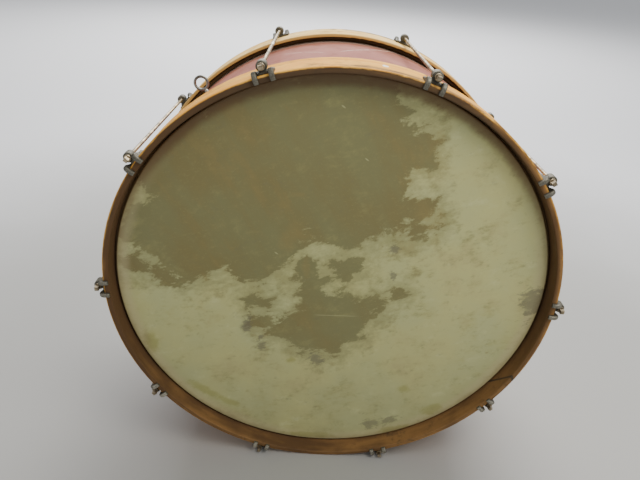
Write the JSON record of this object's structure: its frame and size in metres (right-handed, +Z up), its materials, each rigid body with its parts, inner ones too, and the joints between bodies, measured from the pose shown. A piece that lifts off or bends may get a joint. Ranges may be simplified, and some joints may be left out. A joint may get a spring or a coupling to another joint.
{
  "type": "bass drum",
  "caption": "Marching bass drum: painted wooden shell, calfskin heads under wide wooden hoops, through rods with cast claws that tension both heads together, and a ring bolt for a strap.",
  "frame": {"origin": "on the floor under the middle of the drum, which stands on the rims of its two hoops", "axes": "+Y along the drum's axis from the front head to the rear head, +X to the right seen from the front, +Z up"},
  "size_m": [0.7764, 0.372, 0.7404],
  "materials": {
    "rose_paint": "old dusty rose paint on a wooden shell, rubbed and scratched",
    "varnished_maple": "steam-bent maple under old amber varnish, edges worn pale",
    "bare_maple": "bare planed maple",
    "calfskin": "old calfskin, mottled, with a large darker oily stain",
    "aged_nickel": "tarnished nickel plate, dark in the hollows, bright on the bends",
    "plain_steel": "plain steel"
  },
  "bodies": {
    "drum_shell": {"shell": "rose_paint", "front_reinforcement_ring": "bare_maple", "rear_reinforcement_ring": "bare_maple", "carry_eye": "aged_nickel", "carry_eye_outer_washer": "aged_nickel", "carry_eye_inner_washer": "plain_steel", "carry_eye_nut": "plain_steel"},
    "front_hoop": {"front_counter_hoop": "varnished_maple", "front_flesh_hoop": "bare_maple", "front_head": "calfskin", "front_claw_01": "aged_nickel", "front_claw_02": "aged_nickel", "front_claw_03": "aged_nickel", "front_claw_04": "aged_nickel", "front_claw_05": "aged_nickel", "front_claw_06": "aged_nickel", "front_claw_07": "aged_nickel", "front_claw_08": "aged_nickel", "front_claw_09": "aged_nickel", "front_claw_10": "aged_nickel"},
    "rear_hoop": {"rear_counter_hoop": "varnished_maple", "rear_flesh_hoop": "bare_maple", "rear_head": "calfskin", "rear_claw_01": "aged_nickel", "rear_claw_02": "aged_nickel", "rear_claw_03": "aged_nickel", "rear_claw_04": "aged_nickel", "rear_claw_05": "aged_nickel", "rear_claw_06": "aged_nickel", "rear_claw_07": "aged_nickel", "rear_claw_08": "aged_nickel", "rear_claw_09": "aged_nickel", "rear_claw_10": "aged_nickel"},
    "rod_01": {"tension_rod_01": "aged_nickel"},
    "rod_02": {"tension_rod_02": "aged_nickel"},
    "rod_03": {"tension_rod_03": "aged_nickel"},
    "rod_04": {"tension_rod_04": "aged_nickel"},
    "rod_05": {"tension_rod_05": "aged_nickel"},
    "rod_06": {"tension_rod_06": "aged_nickel"},
    "rod_07": {"tension_rod_07": "aged_nickel"},
    "rod_08": {"tension_rod_08": "aged_nickel"},
    "rod_09": {"tension_rod_09": "aged_nickel"},
    "rod_10": {"tension_rod_10": "aged_nickel"}
  },
  "joints": [
    {"name": "front_hoop_slide", "type": "slide", "parent": "drum_shell", "child": "front_hoop", "axis": [0, -1, 0], "range_m": [0, 0.00635]},
    {"name": "rear_hoop_slide", "type": "slide", "parent": "drum_shell", "child": "rear_hoop", "axis": [0, 1, 0], "range_m": [0, 0.00635]},
    {"name": "rod_01_turn", "type": "hinge", "parent": "front_hoop", "child": "rod_01", "pos_m": [0.11758, 0, 0.73208], "axis": [0, 1, 0], "continuous": true},
    {"name": "rod_02_turn", "type": "hinge", "parent": "front_hoop", "child": "rod_02", "pos_m": [0.30783, 0, 0.59385], "axis": [0, 1, 0], "continuous": true},
    {"name": "rod_03_turn", "type": "hinge", "parent": "front_hoop", "child": "rod_03", "pos_m": [0.3805, 0, 0.3702], "axis": [0, 1, 0], "continuous": true},
    {"name": "rod_04_turn", "type": "hinge", "parent": "front_hoop", "child": "rod_04", "pos_m": [0.30783, 0, 0.14655], "axis": [0, 1, 0], "continuous": true},
    {"name": "rod_05_turn", "type": "hinge", "parent": "front_hoop", "child": "rod_05", "pos_m": [0.11758, 0, 0.00832], "axis": [0, 1, 0], "continuous": true},
    {"name": "rod_06_turn", "type": "hinge", "parent": "front_hoop", "child": "rod_06", "pos_m": [-0.11758, 0, 0.00832], "axis": [0, 1, 0], "continuous": true},
    {"name": "rod_07_turn", "type": "hinge", "parent": "front_hoop", "child": "rod_07", "pos_m": [-0.30783, 0, 0.14655], "axis": [0, 1, 0], "continuous": true},
    {"name": "rod_08_turn", "type": "hinge", "parent": "front_hoop", "child": "rod_08", "pos_m": [-0.3805, 0, 0.3702], "axis": [0, 1, 0], "continuous": true},
    {"name": "rod_09_turn", "type": "hinge", "parent": "front_hoop", "child": "rod_09", "pos_m": [-0.30783, 0, 0.59385], "axis": [0, 1, 0], "continuous": true},
    {"name": "rod_10_turn", "type": "hinge", "parent": "front_hoop", "child": "rod_10", "pos_m": [-0.11758, 0, 0.73208], "axis": [0, 1, 0], "continuous": true}
  ],
  "couplings": [
    {"joint": "rear_hoop_slide", "follows": "front_hoop_slide", "ratio": 1},
    {"joint": "rod_01_turn", "follows": "front_hoop_slide", "rad_per_m": -11874},
    {"joint": "rod_02_turn", "follows": "front_hoop_slide", "rad_per_m": -11874},
    {"joint": "rod_03_turn", "follows": "front_hoop_slide", "rad_per_m": -11874},
    {"joint": "rod_04_turn", "follows": "front_hoop_slide", "rad_per_m": -11874},
    {"joint": "rod_05_turn", "follows": "front_hoop_slide", "rad_per_m": -11874},
    {"joint": "rod_06_turn", "follows": "front_hoop_slide", "rad_per_m": -11874},
    {"joint": "rod_07_turn", "follows": "front_hoop_slide", "rad_per_m": -11874},
    {"joint": "rod_08_turn", "follows": "front_hoop_slide", "rad_per_m": -11874},
    {"joint": "rod_09_turn", "follows": "front_hoop_slide", "rad_per_m": -11874},
    {"joint": "rod_10_turn", "follows": "front_hoop_slide", "rad_per_m": -11874}
  ]
}
